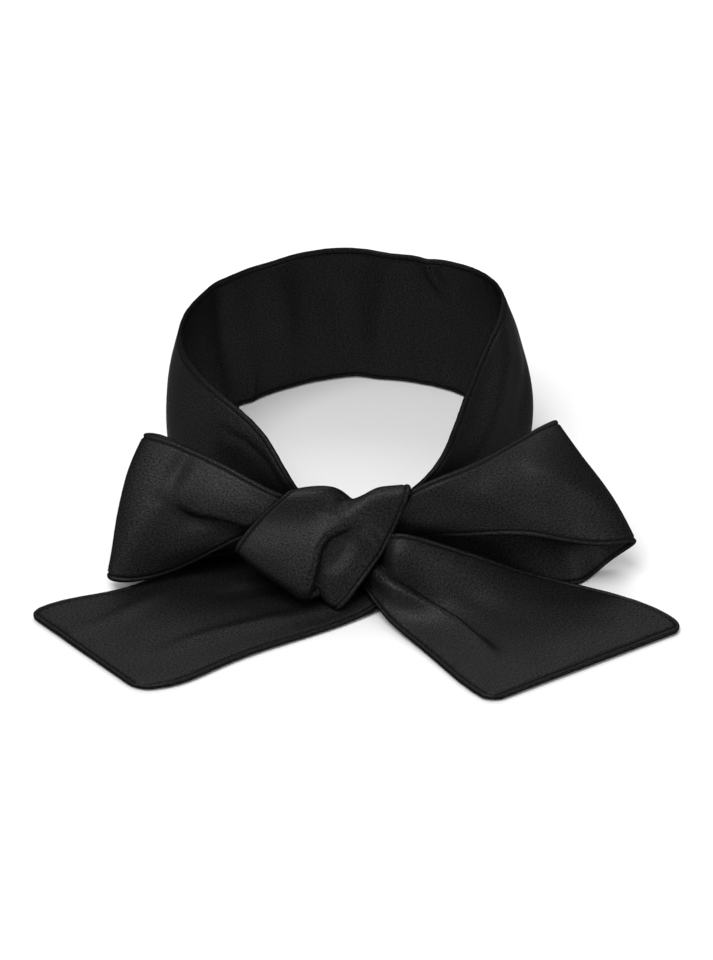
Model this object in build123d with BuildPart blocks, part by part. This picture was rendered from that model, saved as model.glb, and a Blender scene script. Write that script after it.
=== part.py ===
from build123d import *
import os

# A black satin neck scarf tied in a soft bow, lying as it was taken off the neck.
# One long flat strip makes every part: outer satin, soft interlining, inner satin.
# Origin: centre of the neck opening, on the surface the tie rests on.
# +Z up, +X to the wearer's left, +Y to the back of the neck.  Units: mm.

CLOTH = 0.4          # thickness of each of the three layers
GAP = 0.25           # air between layers
STEPS = 4            # lofted steps between two stations
THREAD = 0.4         # depth of the seam thread between the two satins

INNER = (-1.5 * CLOTH - GAP, -0.5 * CLOTH - GAP)
MIDDLE = (-0.5 * CLOTH, 0.5 * CLOTH)
OUTER = (0.5 * CLOTH + GAP, 1.5 * CLOTH + GAP)
BETWEEN = (-0.5 * THREAD, 0.5 * THREAD)

# Places across the strip, as shares of its width, so that the layers stay parallel
FULL = (0, 1)
LINED = (0.04, 0.96)
LOWER_SEAM = (0.022, 0.03)
UPPER_SEAM = (0.97, 0.978)

# Every run of the strip is a list of stations: (lower edge, upper edge, bulge),
# the bulge being how far the middle of the strip stands out on its outer side.
# A run is listed so that, seen from outside with the upper edge up, it goes right.
BAND = [
    ((21, -57, 8), (24, -57, 37), 2),
    ((38, -49, 2), (34, -44, 46), 3),
    ((54, -31, -0.3), (42, -18, 53), 5),
    ((61, -6, -0.3), (49, 4, 56), 5),
    ((56, 22, -0.3), (52, 26, 58), 2),
    ((43, 46, -0.3), (42, 42, 58), 1),
    ((23, 56, -0.3), (23, 50, 58), 1),
    ((0, 59, -0.3), (0, 55, 58), 1),
    ((-22, 53, -0.3), (-23, 50, 58), 1),
    ((-42, 38, -0.3), (-44, 35, 58), 1),
    ((-57, 17, -0.3), (-57, 16, 58), 1),
    ((-62, -6, -0.3), (-59, -7, 57), 2),
    ((-54, -30, -0.3), (-46, -31, 54), 3),
    ((-36, -48, 2), (-31, -49, 47), 3),
    ((-21, -58, 8), (-21, -60, 36), 2),
]
LEFT_LOOP = [
    ((-31, -61, 9), (-30, -60, 32), 1),
    ((-44, -58, 5), (-40, -54, 34), 1),
    ((-60, -62, 4), (-56, -46, 38), 1),
    ((-78, -66, 4), (-67, -40, 41), -1),
    ((-83, -71, 5), (-70, -42, 43), 0.5),
    ((-77, -75, 5), (-65, -46, 44), 2),
    ((-58, -70, 6), (-53, -51, 43), 4),
    ((-41, -67, 15), (-38, -58, 39), 3),
    ((-28, -67, 18), (-27, -64, 33), 1),
]
RIGHT_LOOP = [
    ((25, -66, 18), (25, -64, 34), 2),
    ((41, -69, 18), (40, -59, 40), 3),
    ((64, -72, 19), (58, -46, 44), 4),
    ((88, -69, 16), (67, -41, 46), 3),
    ((98, -60, 10), (70, -39, 46), 2),
    ((90, -60, 4), (67, -38, 42), -2),
    ((76, -66, 1.5), (55, -44, 38), 1),
    ((50, -61, 3), (40, -54, 35), 1),
    ((30, -60, 9), (28, -60, 31), 1),
]
LEFT_TAIL = [
    ((-75, -130, 1), (-108, -91, 1), -0.3),
    ((-62, -129, 1), (-100, -82, 1), -0.3),
    ((-24, -106, 1), (-58, -62, 1.2), -0.2),
    ((6, -89, 1.2), (-40, -56, 2), 0.5),
]
RIGHT_TAIL = [
    ((11, -92, 4), (17, -74, 22), -2),
    ((18, -104, 1.8), (40, -72, 13), -3),
    ((26, -116, 1), (68, -72, 3), -1),
    ((38, -132, 1), (106, -84, 1), -0.3),
    ((48, -134, 1), (111, -97, 1), -0.3),
]
WRAP = [
    ((-17, -53, 8), (15, -53, 8), 1),
    ((-18, -54, 22), (17, -54, 22), 2),
    ((-19, -59, 32), (18, -58, 32), 2),
    ((-20, -65, 36), (20, -63, 36), 2),
    ((-27, -70, 32), (16, -71, 26), 3),
    ((-34, -73, 25), (9, -79, 16), 4),
    ((-38, -75, 19), (-4, -89, 5), 2),
    ((-36, -70, 14), (-5, -81, 3.5), 1),
]

# The strands gathered inside the knot: half depth, half height, and middle (Y, Z)
STRAND_REACH = 17
STRANDS = {
    "knot_upper_strand": (6, 6, (-62, 24)),
    "knot_lower_strand": (8, 6.5, (-63.5, 11)),
}


def slopes(values, gaps):
    """Slope at each value, from the rates on both sides, for unevenly spaced values."""
    rates = [(after - before) / gap for before, after, gap in zip(values, values[1:], gaps)]
    inner = [
        (rates[i] * gaps[i + 1] + rates[i + 1] * gaps[i]) / (gaps[i] + gaps[i + 1])
        for i in range(len(gaps) - 1)
    ]
    return [rates[0], *inner, rates[-1]]


def eased(start, end, slope_in, slope_out, share):
    """A value on the smooth curve from start to end, leaving and arriving at the slopes."""
    square, cube = share**2, share**3
    return (
        start * (2 * cube - 3 * square + 1)
        + end * (3 * square - 2 * cube)
        + slope_in * (cube - 2 * square + share)
        + slope_out * (cube - square)
    )


def smooth_run(stations):
    """The same run with STEPS evenly shared stations between each two given ones."""
    lows, highs, bulges = zip(*[(Vector(low), Vector(high), bow) for low, high, bow in stations])
    middles = [(low + high) / 2 for low, high in zip(lows, highs)]
    gaps = [(after - before).length for before, after in zip(middles, middles[1:])]
    tracks = [(values, slopes(values, gaps)) for values in (lows, highs, bulges)]
    run = []
    for i, gap in enumerate(gaps):
        for step in range(STEPS):
            run.append(
                [
                    eased(v[i], v[i + 1], s[i] * gap, s[i + 1] * gap, step / STEPS)
                    for v, s in tracks
                ]
            )
    return [*run, (lows[-1], highs[-1], bulges[-1])]


def bow_height(across, width, bulge):
    """Height of the bulged section above its chord, at one place across the strip."""
    return bulge * (1 - (2 * across / width) ** 2)


def station_plane(run, index):
    """Plane square to the strip: x runs from lower to upper edge, y points outward."""
    low, high = run[index][:2]
    before = run[max(index - 1, 0)]
    after = run[min(index + 1, len(run) - 1)]
    heading = after[0] + after[1] - before[0] - before[1]
    across = (high - low).normalized()
    outward = heading.cross(across).normalized()
    return Plane(origin=(low + high) / 2, x_dir=across, z_dir=across.cross(outward))


def make_layer(label, run, depth, reach=FULL):
    """Loft one layer of the strip through its stations and write it as a STEP file.

    depth: (from, to) through the thickness.  reach: (from, to) across the width.
    Whatever reaches below the table, by a hair, is cut flat at Z = 0.
    """
    with BuildPart() as layer:
        for index, (low, high, bulge) in enumerate(run):
            width = (high - low).length
            shares = (reach[0], (reach[0] + reach[1]) / 2, reach[1])
            places = [width * (share - 0.5) for share in shares]
            rise = [bow_height(place, width, bulge) for place in places]
            with BuildSketch(station_plane(run, index)):
                with BuildLine():
                    near = Spline([(place, up + depth[0]) for place, up in zip(places, rise)])
                    far = Spline([(place, up + depth[1]) for place, up in zip(places, rise)])
                    Line(near @ 0, far @ 0)
                    Line(near @ 1, far @ 1)
                make_face()
        loft(ruled=True)
        split(bisect_by=Plane.XY, keep=Keep.TOP)
    layer.part.label = label
    export_step(layer.part, f"parts/{label}.step")


os.makedirs("parts", exist_ok=True)

RUNS = {
    "neckband": BAND,
    "left_loop": LEFT_LOOP,
    "right_loop": RIGHT_LOOP,
    "left_tail": LEFT_TAIL,
    "right_tail": RIGHT_TAIL,
    "knot_wrap": WRAP,
}

# Three layers and two sewn edges for each run of the strip
for name, stations in RUNS.items():
    run = smooth_run(stations)
    make_layer(f"{name}_outer_satin", run, OUTER)
    make_layer(f"{name}_interlining", run, MIDDLE, LINED)
    make_layer(f"{name}_inner_satin", run, INNER)
    make_layer(f"{name}_lower_seam", run, BETWEEN, LOWER_SEAM)
    make_layer(f"{name}_upper_seam", run, BETWEEN, UPPER_SEAM)

# Gathered strands, plump rolls running across the inside of the knot
for name, (depth, height, middle) in STRANDS.items():
    with BuildPart() as strand:
        with BuildSketch(Plane.YZ.offset(-STRAND_REACH)):
            with Locations(middle):
                Ellipse(depth, height)
        extrude(amount=2 * STRAND_REACH)
        fillet(strand.edges(), radius=4)
    strand.part.label = name
    export_step(strand.part, f"parts/{name}.step")
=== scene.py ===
from math import cos, radians, sin

import bpy
import numpy as np
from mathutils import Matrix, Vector, noise


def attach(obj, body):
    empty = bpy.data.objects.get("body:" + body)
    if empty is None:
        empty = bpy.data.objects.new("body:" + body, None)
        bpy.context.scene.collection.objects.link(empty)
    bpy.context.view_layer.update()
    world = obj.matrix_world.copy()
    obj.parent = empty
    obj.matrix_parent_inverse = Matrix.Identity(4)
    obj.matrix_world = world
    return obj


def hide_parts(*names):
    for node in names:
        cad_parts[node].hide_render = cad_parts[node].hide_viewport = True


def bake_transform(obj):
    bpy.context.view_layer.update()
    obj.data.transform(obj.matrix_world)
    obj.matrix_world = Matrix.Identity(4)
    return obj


# ---------------------------------------------------------------- frame and camera

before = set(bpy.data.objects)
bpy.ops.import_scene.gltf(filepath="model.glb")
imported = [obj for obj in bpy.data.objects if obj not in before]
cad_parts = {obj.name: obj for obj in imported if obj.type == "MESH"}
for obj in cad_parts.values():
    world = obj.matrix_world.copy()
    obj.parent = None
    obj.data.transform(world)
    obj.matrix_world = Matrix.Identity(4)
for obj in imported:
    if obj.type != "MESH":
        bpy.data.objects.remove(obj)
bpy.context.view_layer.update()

MM = 0.001
LOOK_AT = Vector((0.002, -0.008, 0.0))
CAMERA_DISTANCE = 1.2
CAMERA_ELEVATION = radians(35)
LENS = 125.1
SENSOR_WIDTH = 36

camera = bpy.data.objects.new("camera", bpy.data.cameras.new("camera"))
camera.data.lens = LENS
camera.data.sensor_width = SENSOR_WIDTH
backward = Vector((0, -cos(CAMERA_ELEVATION), sin(CAMERA_ELEVATION)))
camera.location = LOOK_AT + CAMERA_DISTANCE * backward
camera.rotation_euler = backward.to_track_quat("Z", "Y").to_euler()
bpy.context.collection.objects.link(camera)
bpy.context.scene.camera = camera

# ---------------------------------------------------------------- the cloth's sizes (mm)

HALF_THICK = 0.85       # middle of the strip to its outer satin, beside the seam
FULLNESS = 0.25         # the open cloth stands out this much more
FULL_REACH = 8          # distance from the edge over which it fills out
EDGE_ROUND = 1.0        # the sewn edge rounds over within this distance
SEAM_INSET = 1.8        # the seam pulls a shallow groove this far inside the edge
GROOVE = 0.45           # depth of that groove
GROOVE_WIDTH = 0.35     # half the groove's width
RIM = 0.9               # painted shade darkens the sewn edge within this distance
PITCH = 1.2             # size of a mesh face in the open cloth
# Rows of mesh points beside a sewn edge, by distance from it, and the gap to the open cloth
EDGE_ROWS = [0.0, 0.12, 0.35, 0.7, 1.1, 1.5, 1.8, 2.1, 2.5, 3.2, 4.2]
EDGE_CLEAR = 0.5
ALLOWANCE = 2.5         # the interlining stops this far inside the edge
STITCH = 2.0            # length of one stitch
STITCH_PITCH = 2.6      # one stitch to the next
THREAD = 0.13           # radius of the thread
THREAD_SIDES = 6        # sides of the thread's round section
PLEAT_EDGE = 0.7        # a folded-over crease drops within about this distance
CONTACT = 0.2           # cloth eases onto the table over about this height
WAVE = 0.35             # height of the cloth's gentle unevenness
WAVE_SIZE = 16          # size of its patches
WAVE_REACH = 6          # it fades towards the sewn edge within this distance
PUCKER = 0.28           # height of the small creases at the sewn edge
PUCKER_REACH = 5.0      # how far from the edge they run

# Each run of the strip: stations (lower edge, upper edge, lifts), where the lifts say how
# far the cloth stands out at one, two and three quarters of the way across.
BAND = [
    ((9, -58.5, 14), (12, -63, 26), (0, 0, 0)),
    ((20, -57.5, 9), (26, -59.5, 38), (1, 1, 1)),
    ((38, -49, 2), (35, -44, 46), (3, 4, 3)),
    ((55, -30, 0), (43, -18, 53), (4, 6, 4)),
    ((61, -6, 0), (50, 4, 56.5), (5, 8, 6)),
    ((57, 22, 0), (53.5, 25, 59), (3, 5, 4)),
    ((43, 46, 0), (42, 42, 59.5), (1, 1, 1)),
    ((23, 56, 0), (23, 50, 59), (1, 1, 1)),
    ((0, 59, 0), (0, 55, 59), (1, 1, 1)),
    ((-22, 53, 0), (-23, 50, 59), (1, 1, 1)),
    ((-42, 38, 0), (-44, 35, 59), (1, 1, 1)),
    ((-57, 17, 0), (-57, 16, 58.5), (2, 3, 2)),
    ((-62, -6, 0), (-59, -7, 57), (3, 4, 3)),
    ((-54, -30, 0), (-46, -31, 54), (3, 4, 3)),
    ((-36, -49, 2), (-28.5, -50, 47), (2, 3, 2)),
    ((-20, -58, 9), (-19.5, -62.5, 37.5), (1, 1, 1)),
    ((-10, -59, 14), (-12, -65, 26), (0, 0, 0)),
]
LEFT_LOOP = [
    ((-13, -62, 12), (-13, -62, 28), (0, 0, 0)),
    ((-28, -62, 9), (-27, -61.5, 32), (0, 0, 0)),
    ((-44, -58, 3), (-40, -54, 36), (1, 1, 1)),
    ((-60, -61, 2), (-55, -46, 40), (1, 1, 1)),
    ((-78, -67, 4), (-67, -40, 42), (-1, -1, -1)),
    ((-83, -72, 4), (-70, -42, 43.5), (1, 2, 2)),
    ((-77, -75, 4), (-65, -46, 44.5), (2, 3, 2)),
    ((-59, -70, 6), (-53, -52, 43), (3, 4, 3)),
    ((-41, -68, 15), (-38, -59, 39), (2, 3, 2)),
    ((-26, -68, 19), (-25, -66, 36), (1, 2, 1)),
    ((-13, -66, 18), (-13, -65, 30), (1, 1, 1)),
]
RIGHT_LOOP = [
    ((13, -67, 17), (13, -65, 31), (1, 1, 1)),
    ((25, -67, 18), (25, -64, 38), (2, 2, 2)),
    ((41, -70, 20), (40, -59, 42), (2, 3, 2)),
    ((64, -73, 21.5), (58, -46, 44), (3, 4, 3)),
    ((88, -70, 16), (67, -40, 46), (2, 3, 2)),
    ((98, -61, 10), (70, -38, 46), (1, 1, 0)),
    ((91, -60, 3), (67, -37, 43), (-2, -2, -1)),
    ((78, -71, 0), (55, -44, 40), (0, 1, 1)),
    ((50, -64, 0), (40, -54, 36), (1, 1, 1)),
    ((28, -62, 9), (26, -61.5, 31), (0, 0, 0)),
    ((13, -62, 12), (13, -62, 27), (0, 0, 0)),
]
LEFT_TAIL = [
    ((-70.5, -130, 1), (-110, -88.5, 1), (0, 0, 0)),
    ((-60, -128, 1), (-100.5, -82.5, 1), (0, 0, 0)),
    ((-43, -117.5, 1), (-79, -75, 1), (0.5, 1, 0.5)),
    ((-24, -106, 1), (-60, -61.5, 1), (0.5, 1, 0.5)),
    ((6, -89, 1.5), (-40, -50.5, 1), (1, 2, 1)),
    ((15, -79, 6), (-22, -54, 5), (0, 1, 0)),
    ((12, -71, 15), (-11, -65, 18), (0, 0, 0)),
]
RIGHT_TAIL = [
    ((4, -80, 6), (8, -68, 18), (-1, -1, -1)),
    ((11, -92, 3), (17, -73, 23), (-1, 1, 2)),
    ((20.5, -104.5, 1.5), (40, -71, 13), (-1, 0, 2)),
    ((30.5, -118, 1), (68, -71, 3), (1, 0, 0)),
    ((40, -130.5, 1), (104.5, -86.5, 1), (0.5, 1, 0.5)),
    ((46, -136.7, 1), (114, -96.8, 1), (0, 0, 0)),
]
WRAP = [
    ((-17, -53, 8), (15, -53, 8), (1, 1, 1)),
    ((-18, -54, 22), (17, -54, 22), (1, 1, 1)),
    ((-19, -60, 31), (18, -59, 31), (0, 0, 0)),
    ((-21, -67, 36), (20.5, -65.5, 37), (1, -1, -1)),
    ((-28, -70, 32), (16, -71, 26), (2, 3, 2)),
    ((-35, -73, 25), (9, -79, 16), (3, 4, 3)),
    ((-39, -75, 18), (-4, -89, 3), (2, 3, 2)),
    ((-35, -69, 13), (-5, -81, 3), (0, 1, 0)),
]


# ---------------------------------------------------------------- shaping cloth


def smooth_curve(knots, values, at):
    """Natural cubic spline through the rows of values at the knots, read at other places."""
    steps = np.diff(knots)
    matrix = np.eye(len(knots))
    turn = np.zeros_like(values)
    for i in range(1, len(knots) - 1):
        matrix[i, i - 1 : i + 2] = steps[i - 1], 2 * (steps[i - 1] + steps[i]), steps[i]
        slope_in = (values[i] - values[i - 1]) / steps[i - 1]
        slope_out = (values[i + 1] - values[i]) / steps[i]
        turn[i] = 6 * (slope_out - slope_in)
    turn = np.linalg.solve(matrix, turn.reshape(len(knots), -1)).reshape(values.shape)
    left = np.clip(np.searchsorted(knots, at, side="right") - 1, 0, len(knots) - 2)
    span = steps[left].reshape((-1,) + (1,) * (values.ndim - 1))
    share = (np.asarray(at) - knots[left]).reshape(span.shape) / span
    rest = 1 - share
    return (
        rest * values[left]
        + share * values[left + 1]
        + span**2 / 6 * ((rest**3 - rest) * turn[left] + (share**3 - share) * turn[left + 1])
    )


def unit(vectors):
    """The same vectors at length one."""
    return vectors / np.maximum(np.linalg.norm(vectors, axis=-1, keepdims=True), 1e-9)


def section_points(stations):
    """Five points across the strip at each station, lifted outward from the straight line."""
    low = np.array([station[0] for station in stations], float)
    high = np.array([station[1] for station in stations], float)
    lifts = np.array([(0, *station[2], 0) for station in stations], float)
    outward = unit(np.cross(np.gradient(low + high, axis=0), high - low))
    share = np.linspace(0, 1, 5).reshape(1, 5, 1)
    line = low[:, None] * (1 - share) + high[:, None] * share
    return line + lifts[..., None] * outward[:, None]


def along_lengths(points):
    """Running length through a row of points."""
    steps = np.linalg.norm(np.diff(points, axis=0), axis=-1)
    return np.concatenate([[0], np.cumsum(steps)])


def middle_surface(stations, round_start=0, round_end=0, pitch=PITCH):
    """The strip's middle surface as a grid of points, with each point's cloth place.

    Returns points (rows along, columns across), distance along, distance from the lower
    edge, and distance to the nearest sewn edge.  round_start and round_end are the corner
    radii of a sewn end, 0 where the strip runs on into the knot.
    """
    sections = section_points(stations)
    knots = along_lengths(sections[:, 2])
    length = knots[-1]
    rows = np.linspace(0, length, int(length / pitch) + 1)
    if round_start:
        rows = np.concatenate([EDGE_ROWS, rows[rows > EDGE_ROWS[-1] + EDGE_CLEAR]])
    if round_end:
        open_rows = rows[rows < length - EDGE_ROWS[-1] - EDGE_CLEAR]
        rows = np.concatenate([open_rows, length - np.array(EDGE_ROWS[::-1])])
    fine = np.linspace(0, 1, 161)
    across = smooth_curve(np.linspace(0, 1, 5), sections.swapaxes(0, 1), fine).swapaxes(0, 1)
    dense = smooth_curve(knots, across, rows)

    widths = np.array([along_lengths(row)[-1] for row in dense])
    inner = np.linspace(0, 1, int(widths.max() / pitch) + 1)
    edge = np.array(EDGE_ROWS)
    points, places, insets = [], [], []
    for row, width, distance in zip(dense, widths, rows):
        from_end = length
        if round_start:
            from_end = min(from_end, distance)
        if round_end:
            from_end = min(from_end, length - distance)
        radius = round_start or round_end
        short = 0.0
        if radius and from_end < radius:
            short = radius - np.sqrt(max(radius**2 - (radius - from_end) ** 2, 0))
        room = width - 2 * short
        spread = edge[-1] + (room - 2 * edge[-1]) * inner[1:-1]
        place = short + np.concatenate([edge, spread, room - edge[::-1]])
        run = along_lengths(row)
        points.append(np.stack([np.interp(place, run, row[:, axis]) for axis in range(3)], -1))
        places.append(place)
        side = np.minimum(place - short, room - (place - short))
        insets.append(np.minimum(side, from_end))
    distance = np.repeat(rows[:, None], len(places[0]), axis=1)
    return np.array(points), distance, np.array(places), np.array(insets)


def normals(points):
    """Outward direction at each grid point."""
    along = np.gradient(points, axis=0)
    across = np.gradient(points, axis=1)
    return unit(np.cross(along, across))


def ridge(distance, place, start, end, width, height):
    """A fold from start to end, each (distance along, distance across), fading at its ends."""
    start, end = np.array(start, float), np.array(end, float)
    line = end - start
    share = ((distance - start[0]) * line[0] + (place - start[1]) * line[1]) / (line @ line)
    nearest = np.clip(share, 0, 1)
    away = np.hypot(distance - start[0] - nearest * line[0], place - start[1] - nearest * line[1])
    fade = np.sin(np.pi * np.clip(share * 0.8 + 0.1, 0, 1))
    return height * fade * np.exp(-((away / width) ** 2))


def pleat(distance, place, crease, height, reach):
    """Cloth folded over along a crease: high on its left side, dropping sharply to the right.

    crease: points (distance along, distance across).  reach: how far the fold is felt on
    its (high, low) sides.
    """
    crease = np.array(crease, float)
    starts, lines = crease[:-1], np.diff(crease, axis=0)
    spot = np.stack([distance, place], -1)[..., None, :] - starts
    share = np.clip((spot * lines).sum(-1) / (lines**2).sum(-1), 0, 1)
    off = spot - share[..., None] * lines
    away = np.hypot(off[..., 0], off[..., 1])
    nearest = away.argmin(-1)[..., None]
    side = np.sign(lines[:, 0] * spot[..., 1] - lines[:, 1] * spot[..., 0])
    run = along_lengths(crease)
    along = (run[:-1] + share * np.linalg.norm(lines, axis=-1)) / run[-1]
    away, side, along = (np.take_along_axis(v, nearest, -1)[..., 0] for v in (away, side, along))
    fade = np.sin(np.pi * along)
    softness = PLEAT_EDGE * (1 + 4 * (1 - fade) ** 2)
    turned = 0.5 + 0.5 * np.tanh(side * away / softness)
    high = turned * np.exp(-((away / reach[0]) ** 2))
    low = (1 - turned) * np.exp(-((away / reach[1]) ** 2))
    return 0.5 * height * fade * (high - low)


def soft_noise(distance, place, size, seed):
    """Gentle unevenness of the cloth, from -1 to 1, in patches of about the given size."""
    values = [
        noise.noise(Vector((a / size, b / size, seed * 7.31)))
        for a, b in zip(distance.ravel(), place.ravel())
    ]
    return np.array(values).reshape(distance.shape)


def edge_puckers(distance, place, inset, seed):
    """Small creases that the sewing pulls into the cloth, square to the edge."""
    creases = soft_noise(distance * 2.2, place * 0.25, 5.0, seed)
    return PUCKER * creases * np.exp(-inset / PUCKER_REACH) * np.clip(inset / 1.5, 0, 1)


def in_groove(inset):
    """1 along the seam's groove, falling to 0 away from it."""
    return np.exp(-(((inset - SEAM_INSET) / GROOVE_WIDTH) ** 2))


def half_thickness(inset):
    """Middle to outer satin: rounds to nothing at the sewn edge, dips along the seam."""
    rounding = np.sqrt(np.clip(1 - (1 - np.clip(inset / EDGE_ROUND, 0, 1)) ** 2, 0, 1))
    fullness = FULLNESS * (1 - np.exp(-inset / FULL_REACH))
    return HALF_THICK * rounding - GROOVE * in_groove(inset) + fullness * rounding


def painted_seam_shade(inset):
    """Painted shade in the seam's groove and right at the sewn edge: how far the cloth's colour is
    darkened there.
    """
    return np.maximum(0.65 * in_groove(inset), 0.6 * np.clip(1 - inset / RIM, 0, 1))


def rest_on_table(points, thick):
    """Cloth that would sink below the table lies on it instead."""
    underside = thick[..., 0] * np.abs(normals(points)[..., 2])
    gap = (points[..., 2] - underside) / CONTACT
    rested = points.copy()
    rested[..., 2] = underside + CONTACT * np.logaddexp(0, gap)
    return rested


def grid_object(name, points, uv, shade=None):
    """A smooth mesh through a grid of points given in mm, with cloth places as its UV map.

    shade: painted shade at each point, 0 for open cloth to 1 for black.
    """
    rows, columns = points.shape[:2]
    corner = np.arange(rows * columns).reshape(rows, columns)
    faces = np.stack([corner[:-1, :-1], corner[:-1, 1:], corner[1:, 1:], corner[1:, :-1]], -1)
    faces = faces.reshape(-1, 4)[:, ::-1]
    mesh = bpy.data.meshes.new(name)
    mesh.from_pydata((points.reshape(-1, 3) * MM).tolist(), [], faces.tolist())
    layer = mesh.uv_layers.new(name="cloth")
    layer.data.foreach_set("uv", (uv.reshape(-1, 2)[faces.ravel()] * MM).ravel())
    # Painted shade: a point attribute that later darkens the colour in the seam's groove and at the
    # sewn edge
    if shade is not None:
        mesh.attributes.new("painted_seam_shade", "FLOAT", "POINT").data.foreach_set("value", shade.ravel())
    mesh.shade_smooth()
    piece = bpy.data.objects.new(name, mesh)
    bpy.context.collection.objects.link(piece)
    return piece


def stitches(name, line, outward):
    """A row of stitches along a line of points, as short rounded lengths of thread."""
    run = along_lengths(line)
    verts, faces = [], []
    turns = np.linspace(0, 2 * np.pi, THREAD_SIDES, endpoint=False)
    ring = [(cos(turn), sin(turn)) for turn in turns]
    # (share of the stitch's length, share of the thread's radius)
    profile = [(0.0, 0.3), (0.15, 1.0), (0.85, 1.0), (1.0, 0.3)]
    for start in np.arange(1.0, run[-1] - STITCH, STITCH_PITCH):
        at = [start + share * STITCH for share, _ in profile]
        spots = np.stack([np.interp(at, run, line[:, axis]) for axis in range(3)], -1)
        up = unit(np.array([np.interp(start, run, outward[:, axis]) for axis in range(3)]))
        side = unit(np.cross(up, spots[-1] - spots[0]))
        first = len(verts)
        for spot, (_, size) in zip(spots, profile):
            for x, y in ring:
                verts.append((spot + THREAD * size * (x * side + y * up)) * MM)
        for start_ring in range(first, first + THREAD_SIDES * (len(profile) - 1), THREAD_SIDES):
            for k in range(THREAD_SIDES):
                a, b = start_ring + k, start_ring + (k + 1) % THREAD_SIDES
                faces.append((a, b, b + THREAD_SIDES, a + THREAD_SIDES))
        faces.append(tuple(range(first + THREAD_SIDES - 1, first - 1, -1)))
        faces.append(tuple(range(len(verts) - THREAD_SIDES, len(verts))))
    mesh = bpy.data.meshes.new(name)
    mesh.from_pydata(verts, [], faces)
    mesh.shade_smooth()
    piece = bpy.data.objects.new(name, mesh)
    bpy.context.collection.objects.link(piece)
    return piece


# ---------------------------------------------------------------- materials


def cloth_material(name, colour, metal, roughness, thread_size, thread_depth):
    """Woven cloth: every thread a speck of its own tone and slope, in soft broader patches.

    metal: how much of the light comes back as the satin's own dull mirror.
    """
    material = bpy.data.materials.new(name)
    material.use_nodes = True
    nodes, links = material.node_tree.nodes, material.node_tree.links
    shader = nodes["Principled BSDF"]
    shader.inputs["Metallic"].default_value = metal
    shader.inputs["Specular IOR Level"].default_value = 0.1
    shader.inputs["Specular Tint"].default_value = (0.2, 0.2, 0.2, 1)

    place = nodes.new("ShaderNodeUVMap")
    place.uv_map = "cloth"

    patches = nodes.new("ShaderNodeTexNoise")
    patches.inputs["Scale"].default_value = 90
    patches.inputs["Detail"].default_value = 4
    links.new(place.outputs["UV"], patches.inputs["Vector"])

    stretch = nodes.new("ShaderNodeMapping")
    stretch.inputs["Scale"].default_value = (1 / thread_size, 1.5 / thread_size, 1)
    links.new(place.outputs["UV"], stretch.inputs["Vector"])
    threads = nodes.new("ShaderNodeTexNoise")
    threads.inputs["Scale"].default_value = 1
    threads.inputs["Detail"].default_value = 2
    links.new(stretch.outputs["Vector"], threads.inputs["Vector"])

    tones = nodes.new("ShaderNodeMapRange")
    tones.inputs["From Min"].default_value = 0.25
    tones.inputs["From Max"].default_value = 0.75
    tones.inputs["To Min"].default_value = 0.15
    tones.inputs["To Max"].default_value = 1.85
    links.new(threads.outputs["Fac"], tones.inputs["Value"])
    shade = nodes.new("ShaderNodeMixRGB")
    shade.blend_type = "MULTIPLY"
    shade.inputs["Fac"].default_value = 1
    shade.inputs["Color1"].default_value = (*colour, 1)
    links.new(tones.outputs["Result"], shade.inputs["Color2"])

    # Painted shade: the colour is blended toward black in the seam's groove and at the sewn edge
    painted_shade_attribute = nodes.new("ShaderNodeAttribute")
    painted_shade_attribute.attribute_name = "painted_seam_shade"
    darken = nodes.new("ShaderNodeMixRGB")
    darken.inputs["Color2"].default_value = (0, 0, 0, 1)
    links.new(painted_shade_attribute.outputs["Fac"], darken.inputs["Fac"])
    links.new(shade.outputs["Color"], darken.inputs["Color1"])
    links.new(darken.outputs["Color"], shader.inputs["Base Color"])

    gloss = nodes.new("ShaderNodeMapRange")
    gloss.inputs["To Min"].default_value = roughness - 0.08
    gloss.inputs["To Max"].default_value = roughness + 0.08
    links.new(patches.outputs["Fac"], gloss.inputs["Value"])
    links.new(gloss.outputs["Result"], shader.inputs["Roughness"])

    bump = nodes.new("ShaderNodeBump")
    bump.inputs["Strength"].default_value = 1
    bump.inputs["Distance"].default_value = thread_depth
    links.new(threads.outputs["Fac"], bump.inputs["Height"])
    links.new(bump.outputs["Normal"], shader.inputs["Normal"])
    return material


# Each cloth: colour, metal, roughness, size of a thread, depth of a thread
SATIN = ((0.0215, 0.0215, 0.0218), 0.8, 0.5, 0.0007, 0.00007)
CLOTHS = {
    "satin_outer": SATIN,
    "satin_inner": SATIN,
    "gathered_satin": SATIN,
    "interlining": ((0.03, 0.03, 0.033), 0, 0.8, 0.0009, 0.0001),
    "seam_thread": ((0.01, 0.01, 0.011), 0, 0.6, 0.0003, 0.00004),
}
materials = {slot: cloth_material(slot, *cloth) for slot, cloth in CLOTHS.items()}


def dress(piece, node, slot):
    """Give a piece its material, and let it stand for its CAD node."""
    piece.data.materials.append(materials[slot])
    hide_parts(node)


# ---------------------------------------------------------------- the runs of the strip


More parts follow.
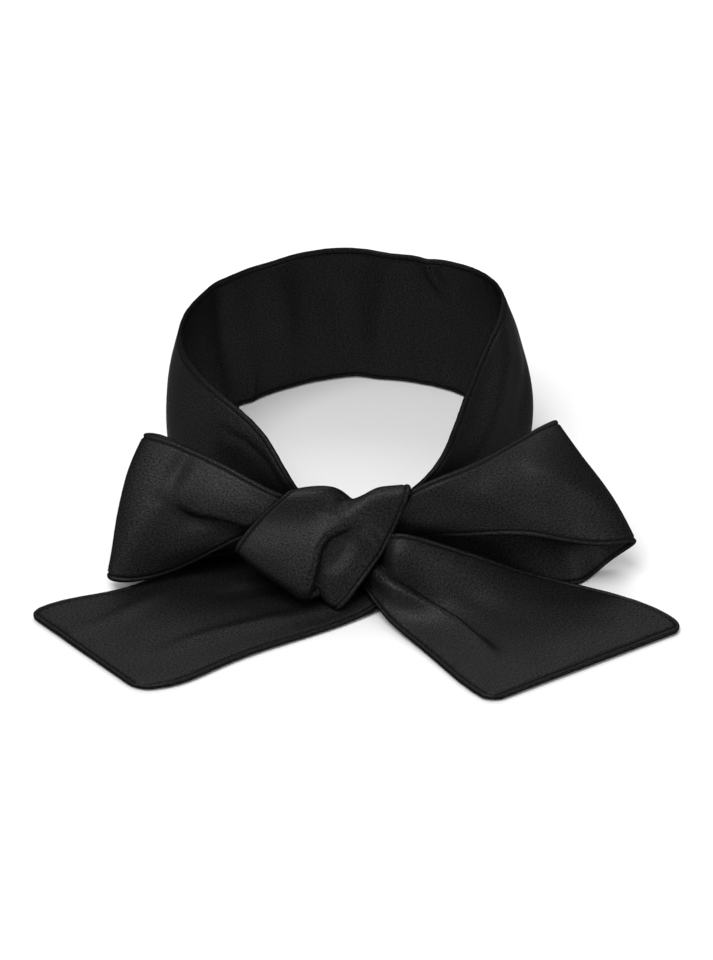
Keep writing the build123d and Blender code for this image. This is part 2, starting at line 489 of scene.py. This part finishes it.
def build_run(name, stations, body, folds=(), pleats=(), seed=1, **grid):
    """Both satins, the interlining and the two rows of stitches of one run of the strip."""
    points, distance, place, inset = middle_surface(stations, **grid)
    waves = soft_noise(distance, place, WAVE_SIZE, seed)
    lift = WAVE * waves * np.clip(inset / WAVE_REACH, 0.15, 1)
    lift += edge_puckers(distance, place, inset, seed)
    for fold in folds:
        lift += ridge(distance, place, *fold)
    for crease in pleats:
        lift += pleat(distance, place, *crease)
    points = points + lift[..., None] * normals(points)
    thick = half_thickness(inset)[..., None]
    points = rest_on_table(points, thick)
    outward = normals(points)
    uv = np.stack([distance, place], -1)

    # Painted shade: the colour darkens in the seam's groove and at the sewn edge
    shade = painted_seam_shade(inset)
    outer = grid_object(f"{name}_outer", points + thick * outward, uv, shade)
    dress(outer, f"{name}_outer_satin", "satin_outer")
    inner_points = (points - thick * outward)[:, ::-1]
    inner = grid_object(f"{name}_inner", inner_points, uv[:, ::-1], shade[:, ::-1])
    dress(inner, f"{name}_inner_satin", "satin_inner")

    kept = [j for j in range(points.shape[1]) if inset[len(inset) // 2, j] >= ALLOWANCE]
    lining = grid_object(f"{name}_lining", points[:, kept], uv[:, kept])
    dress(lining, f"{name}_interlining", "interlining")
    pieces = [outer, inner, lining]

    seam = EDGE_ROWS.index(SEAM_INSET)
    for edge, column in (("lower", seam), ("upper", -1 - seam)):
        line = (points + thick * outward)[:, column]
        thread = stitches(f"{name}_{edge}_stitches", line, outward[:, column])
        dress(thread, f"{name}_{edge}_seam", "seam_thread")
        pieces.append(thread)

    # Flat sizes of the runs as built leave out cloth bunched out of sight
    for piece in pieces:
        if body == "neck_ring":
            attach(piece, body)
        else:
            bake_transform(piece)


# Soft folds: (start, end, width, height), each place as (distance along, distance across)
BAND_FOLDS = [
    ((30, 30), (92, 58), 5, 2.2),
    ((48, 22), (104, 44), 6, -1.6),
    ((149, 2), (148, 14), 2, -1.0),
    ((157, 2), (160, 18), 2, -1.4),
    ((157, 60), (148, 44), 2.5, -1.6),
    ((170, 60), (174, 0), 6, -2.0),
    ((190, 56), (182, -2), 8, 2.2),
    ((215, 60), (208, 4), 7, -2.2),
    ((228, 0), (226, 14), 2.2, -1.3),
    ((240, 60), (232, -4), 6, 2.2),
    ((300, 20), (330, 44), 7, 1.4),
]
LEFT_LOOP_FOLDS = [
    ((76, 4), (79, 27), 4, 0.5),
    ((80, 14), (112, 4), 5, 0.8),
    ((90, 46), (84, 28), 5, -1.4),
    ((98, 40), (126, 22), 5, 0.8),
]
RIGHT_LOOP_FOLDS = [
    ((40, 12), (62, 10), 6, -0.8),
    ((50, 25), (69, 22), 4, 0.6),
    ((69, 22), (74, 10), 4, 0.9),
    ((74, 12), (70, 0), 4, 0.7),
]
LEFT_TAIL_FOLDS = [
    ((2, 40), (48, 45), 3.5, 0.9),
    ((20, 17), (88, 8), 3, 1.3),
    ((54, 33), (90, 24), 4, -1.5),
]
RIGHT_TAIL_FOLDS = [
    ((2, 26), (40, 48), 5, 1.4),
    ((16, 22), (48, 34), 5, -1.6),
]
WRAP_FOLDS = [
    ((16, 22), (41, 22), 4.5, -5.5),
    ((44, 31), (54, 45), 2.5, 1.8),
    ((47, 32), (60, 35), 3.5, -1.6),
    ((68, 31), (88, 36), 3.5, -5.0),
]
# Folded-over creases: (points, height, (reach of the high side, reach of the low side))
BAND_PLEATS = [
    (((314, 46), (332, 44), (344, 38), (360, 22)), 1.4, (3, 3)),
]
LEFT_LOOP_PLEATS = [
    (((80, 33), (89, 26), (96, 19), (103, 14), (113, 7), (140, -4)), 6.0, (11, 6)),
]
RIGHT_TAIL_PLEATS = [
    (((72, 18), (64, 18.5), (55, 19), (42, 19), (32, 17), (25, 15), (4, 11), (-24, 5)), 5.0, (6, 8)),
]
WRAP_PLEATS = [
    (((92, 35), (72, 31), (61, 28), (56, 26), (51, 26), (46, 30), (41, 36)), 5.0, (6, 6)),
]

build_run("neckband", BAND, "neck_ring", BAND_FOLDS, BAND_PLEATS, seed=1)
build_run("left_loop", LEFT_LOOP, "left_loop", LEFT_LOOP_FOLDS, LEFT_LOOP_PLEATS, seed=2)
build_run("right_loop", RIGHT_LOOP, "right_loop", RIGHT_LOOP_FOLDS, seed=3)
build_run("left_tail", LEFT_TAIL, "left_tail", LEFT_TAIL_FOLDS, seed=4, round_start=5)
build_run(
    "right_tail",
    RIGHT_TAIL,
    "right_tail",
    RIGHT_TAIL_FOLDS,
    RIGHT_TAIL_PLEATS,
    seed=5,
    round_end=6,
    pitch=0.9,
)
build_run("knot_wrap", WRAP, "neck_ring", WRAP_FOLDS, WRAP_PLEATS, seed=6, pitch=0.7)

# ---------------------------------------------------------------- gathered strands in the knot

STRAND_REACH = 15       # from the middle of the knot to each end
# Half depth, half height, and middle (Y, Z)
STRANDS = {
    "knot_upper_strand": (6, 6, (-62, 24)),
    "knot_lower_strand": (8, 6.5, (-63.5, 11)),
}


def build_strand(name, depth, height, middle):
    """A plump roll of gathered cloth across the inside of the knot."""
    along = STRAND_REACH * np.sin(np.linspace(-np.pi / 2, np.pi / 2, 41))[:, None]
    around = np.linspace(0, 2 * np.pi, 97)[None, :]
    gathers = 1 + 0.07 * np.sin(9 * around + 0.12 * along) + 0.04 * np.sin(16 * around - 0.2 * along)
    waist = 0.55 - 0.1 * np.exp(-((along / 8) ** 2))
    closing = np.sqrt(1.002 - (along / STRAND_REACH) ** 6)
    size = gathers * waist * closing
    y = middle[0] + depth * size * np.cos(around)
    z = middle[1] + height * size * np.sin(around)
    points = np.stack([along + 0 * around, y, z], -1)
    girth = along_lengths(points[20])[-1]
    uv = np.stack([points[..., 0] + STRAND_REACH, girth * around / (2 * np.pi) + 0 * along], -1)
    roll = grid_object(f"{name}_roll", points, uv)
    dress(roll, name, "gathered_satin")
    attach(roll, "neck_ring")


for name, shape in STRANDS.items():
    build_strand(name, *shape)

# ---------------------------------------------------------------- floor and light

bpy.ops.mesh.primitive_plane_add(size=6, location=(0, 0, -0.0002))
floor = bpy.context.object
floor.name = "floor"
paper = bpy.data.materials.new("floor_paper")
paper.use_nodes = True
paper_shader = paper.node_tree.nodes["Principled BSDF"]
paper_shader.inputs["Base Color"].default_value = (0.9, 0.9, 0.9, 1)
paper_shader.inputs["Roughness"].default_value = 0.9
floor.data.materials.append(paper)


def studio_world(horizon, zenith):
    """Even white light from all round, growing from the horizon to the zenith."""
    world = bpy.data.worlds.new("studio")
    world.use_nodes = True
    nodes, links = world.node_tree.nodes, world.node_tree.links
    nodes["Background"].inputs["Color"].default_value = (1, 1, 1, 1)
    direction = nodes.new("ShaderNodeTexCoord")
    height = nodes.new("ShaderNodeSeparateXYZ")
    brightness = nodes.new("ShaderNodeMapRange")
    brightness.inputs["To Min"].default_value = horizon
    brightness.inputs["To Max"].default_value = zenith
    links.new(direction.outputs["Generated"], height.inputs["Vector"])
    links.new(height.outputs["Z"], brightness.inputs["Value"])
    links.new(brightness.outputs["Result"], nodes["Background"].inputs["Strength"])
    return world


def soft_light(name, place, size, power):
    """A large square light that faces the object."""
    lamp = bpy.data.objects.new(name, bpy.data.lights.new(name, "AREA"))
    lamp.data.shape = "SQUARE"
    lamp.data.size = size
    lamp.data.energy = power
    lamp.location = place
    lamp.rotation_euler = Vector(place).to_track_quat("Z", "Y").to_euler()
    bpy.context.collection.objects.link(lamp)


soft_light("top_light", (-0.4, -0.45, 1.6), 1.1, 21)
soft_light("back_light", (0.1, 1.2, 1.1), 1.2, 12)
soft_light("left_light", (-1.1, -0.8, 0.6), 0.7, 2.5)
soft_light("right_light", (1.1, -0.8, 0.6), 0.7, 4.5)

bpy.context.scene.world = studio_world(0.08, 0.42)
bpy.context.scene.view_settings.view_transform = "Standard"
